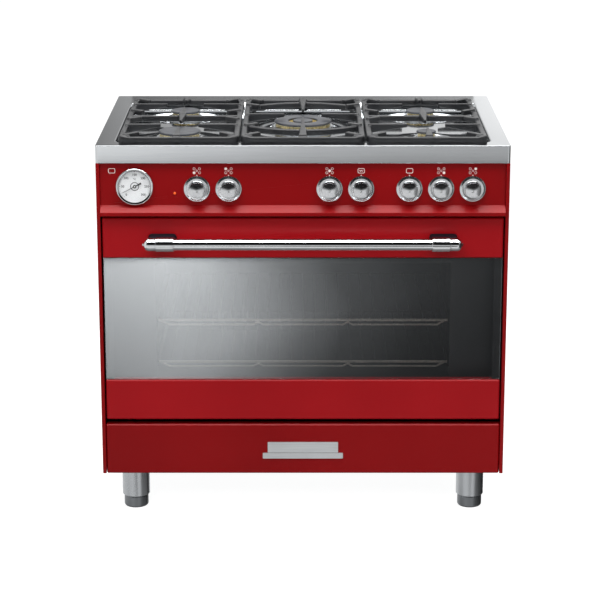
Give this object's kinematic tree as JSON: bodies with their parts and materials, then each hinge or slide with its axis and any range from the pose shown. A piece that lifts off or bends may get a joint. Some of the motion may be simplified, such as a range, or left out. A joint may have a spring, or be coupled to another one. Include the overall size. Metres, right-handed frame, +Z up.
{
  "type": "freestanding cooker",
  "caption": "Wide freestanding gas cooker on legs: steel hob with burners and cast supports, knob panel, glazed oven door with bar handle, storage drawer.",
  "frame": {"origin": "on the floor, under the middle of the whole cooker with its door handle", "axes": "+Z up, -Y out of the front with the knobs and door, +X to the right seen from the front"},
  "size_m": [0.9, 0.6614, 0.864],
  "materials": {
    "stainless": "fine brushed stainless steel",
    "chrome": "polished chrome plate",
    "red_enamel": "gloss red enamel",
    "galvanised": "dull galvanised sheet",
    "oven_enamel": "dark grey vitreous enamel",
    "black_enamel": "satin black enamel",
    "cast_iron": "matt black enamelled cast iron",
    "brass": "machined brass",
    "smoked_glass": "smoked mirror-finish glass",
    "clear_glass": "clear toughened glass",
    "dial_white": "white painted dial",
    "needle_black": "black painted needle",
    "amber_lens": "clear amber lens",
    "seal_rubber": "matt dark oven seal"
  },
  "bodies": {
    "cooker_body": {"hob_top": "stainless", "side_panel_left": "red_enamel", "side_panel_right": "red_enamel", "back_panel": "galvanised", "base_pan": "galvanised", "control_panel": "red_enamel", "gauge_bezel": "chrome", "gauge_dial": "dial_white", "gauge_glass": "clear_glass", "indicator_lamp": "amber_lens", "gas_rail": "galvanised", "oven_cavity": "oven_enamel", "door_gasket": "seal_rubber", "oven_burner": "galvanised", "grill_burner": "galvanised", "door_hinge_left": "galvanised", "door_hinge_right": "galvanised", "leg_sleeve_front_left": "stainless", "leg_sleeve_front_right": "stainless", "leg_sleeve_rear_left": "stainless", "leg_sleeve_rear_right": "stainless", "burner_front_left": "brass", "burner_rear_left": "brass", "burner_rear_right": "brass", "burner_front_right": "brass", "burner_centre": "brass", "burner_cap_front_left": "black_enamel", "burner_cap_rear_left": "black_enamel", "burner_cap_rear_right": "black_enamel", "burner_cap_front_right": "black_enamel", "burner_cap_centre": "black_enamel", "burner_cap_centre_ring": "black_enamel"},
    "oven_door": {"door_top_rail": "red_enamel", "door_bottom_rail": "red_enamel", "door_outer_glass": "smoked_glass", "door_frame": "black_enamel", "door_inner_glass": "clear_glass", "handle_bar": "chrome", "handle_bracket_left": "chrome", "handle_bracket_right": "chrome"},
    "storage_drawer": {"drawer_front": "red_enamel", "drawer_box": "galvanised"},
    "knob_rear_left_body": {"knob_rear_left": "chrome"},
    "knob_front_left_body": {"knob_front_left": "chrome"},
    "knob_centre_body": {"knob_centre": "chrome"},
    "knob_grill_body": {"knob_grill": "chrome"},
    "knob_oven_body": {"knob_oven": "chrome"},
    "knob_front_right_body": {"knob_front_right": "chrome"},
    "knob_rear_right_body": {"knob_rear_right": "chrome"},
    "gauge_needle_body": {"gauge_needle": "needle_black"},
    "pan_support_left_body": {"pan_support_left": "cast_iron"},
    "pan_support_centre_body": {"pan_support_centre": "cast_iron"},
    "pan_support_right_body": {"pan_support_right": "cast_iron"},
    "oven_rack_upper_body": {"oven_rack_upper": "chrome"},
    "oven_rack_lower_body": {"oven_rack_lower": "chrome"},
    "leg_foot_front_left_body": {"leg_foot_front_left": "stainless"},
    "leg_foot_front_right_body": {"leg_foot_front_right": "stainless"},
    "leg_foot_rear_left_body": {"leg_foot_rear_left": "stainless"},
    "leg_foot_rear_right_body": {"leg_foot_rear_right": "stainless"}
  },
  "joints": [
    {"name": "oven_door_hinge", "type": "hinge", "parent": "cooker_body", "child": "oven_door", "pos_m": [0, -0.24735, 0.2404], "axis": [1, 0, 0], "range_deg": [0, 90], "stiffness_Nm_per_rad": 14, "springref_deg": -11.46},
    {"name": "storage_drawer_slide", "type": "slide", "parent": "cooker_body", "child": "storage_drawer", "axis": [0, -1, 0], "range_m": [0, 0.3]},
    {"name": "knob_rear_left_turn", "type": "hinge", "parent": "cooker_body", "child": "knob_rear_left_body", "pos_m": [-0.2304, -0.26335, 0.754], "axis": [0, -1, 0], "range_deg": [0, 210]},
    {"name": "knob_front_left_turn", "type": "hinge", "parent": "cooker_body", "child": "knob_front_left_body", "pos_m": [-0.1616, -0.26335, 0.754], "axis": [0, -1, 0], "range_deg": [0, 210]},
    {"name": "knob_centre_turn", "type": "hinge", "parent": "cooker_body", "child": "knob_centre_body", "pos_m": [0.058, -0.26335, 0.754], "axis": [0, -1, 0], "range_deg": [0, 210]},
    {"name": "knob_grill_turn", "type": "hinge", "parent": "cooker_body", "child": "knob_grill_body", "pos_m": [0.1268, -0.26335, 0.754], "axis": [0, -1, 0], "range_deg": [0, 210]},
    {"name": "knob_oven_turn", "type": "hinge", "parent": "cooker_body", "child": "knob_oven_body", "pos_m": [0.2318, -0.26335, 0.754], "axis": [0, -1, 0], "range_deg": [0, 270]},
    {"name": "knob_front_right_turn", "type": "hinge", "parent": "cooker_body", "child": "knob_front_right_body", "pos_m": [0.3006, -0.26335, 0.754], "axis": [0, -1, 0], "range_deg": [0, 210]},
    {"name": "knob_rear_right_turn", "type": "hinge", "parent": "cooker_body", "child": "knob_rear_right_body", "pos_m": [0.3694, -0.26335, 0.754], "axis": [0, -1, 0], "range_deg": [0, 210]},
    {"name": "gauge_needle_turn", "type": "hinge", "parent": "cooker_body", "child": "gauge_needle_body", "pos_m": [-0.366, -0.26335, 0.7585], "axis": [0, 1, 0], "range_deg": [-17.5, 252.5], "stiffness_Nm_per_rad": 0.002},
    {"name": "pan_support_left_lift", "type": "slide", "parent": "cooker_body", "child": "pan_support_left_body", "axis": [0, 0, 1], "range_m": [0, 0.1]},
    {"name": "pan_support_centre_lift", "type": "slide", "parent": "cooker_body", "child": "pan_support_centre_body", "axis": [0, 0, 1], "range_m": [0, 0.1]},
    {"name": "pan_support_right_lift", "type": "slide", "parent": "cooker_body", "child": "pan_support_right_body", "axis": [0, 0, 1], "range_m": [0, 0.1]},
    {"name": "oven_rack_upper_slide", "type": "slide", "parent": "cooker_body", "child": "oven_rack_upper_body", "axis": [0, -1, 0], "range_m": [0, 0.02]},
    {"name": "oven_rack_lower_slide", "type": "slide", "parent": "cooker_body", "child": "oven_rack_lower_body", "axis": [0, -1, 0], "range_m": [0, 0.02]},
    {"name": "leg_foot_front_left_level", "type": "slide", "parent": "cooker_body", "child": "leg_foot_front_left_body", "axis": [0, 0, -1], "range_m": [0, 0.025]},
    {"name": "leg_foot_front_right_level", "type": "slide", "parent": "cooker_body", "child": "leg_foot_front_right_body", "axis": [0, 0, -1], "range_m": [0, 0.025]},
    {"name": "leg_foot_rear_left_level", "type": "slide", "parent": "cooker_body", "child": "leg_foot_rear_left_body", "axis": [0, 0, -1], "range_m": [0, 0.025]},
    {"name": "leg_foot_rear_right_level", "type": "slide", "parent": "cooker_body", "child": "leg_foot_rear_right_body", "axis": [0, 0, -1], "range_m": [0, 0.025]}
  ]
}
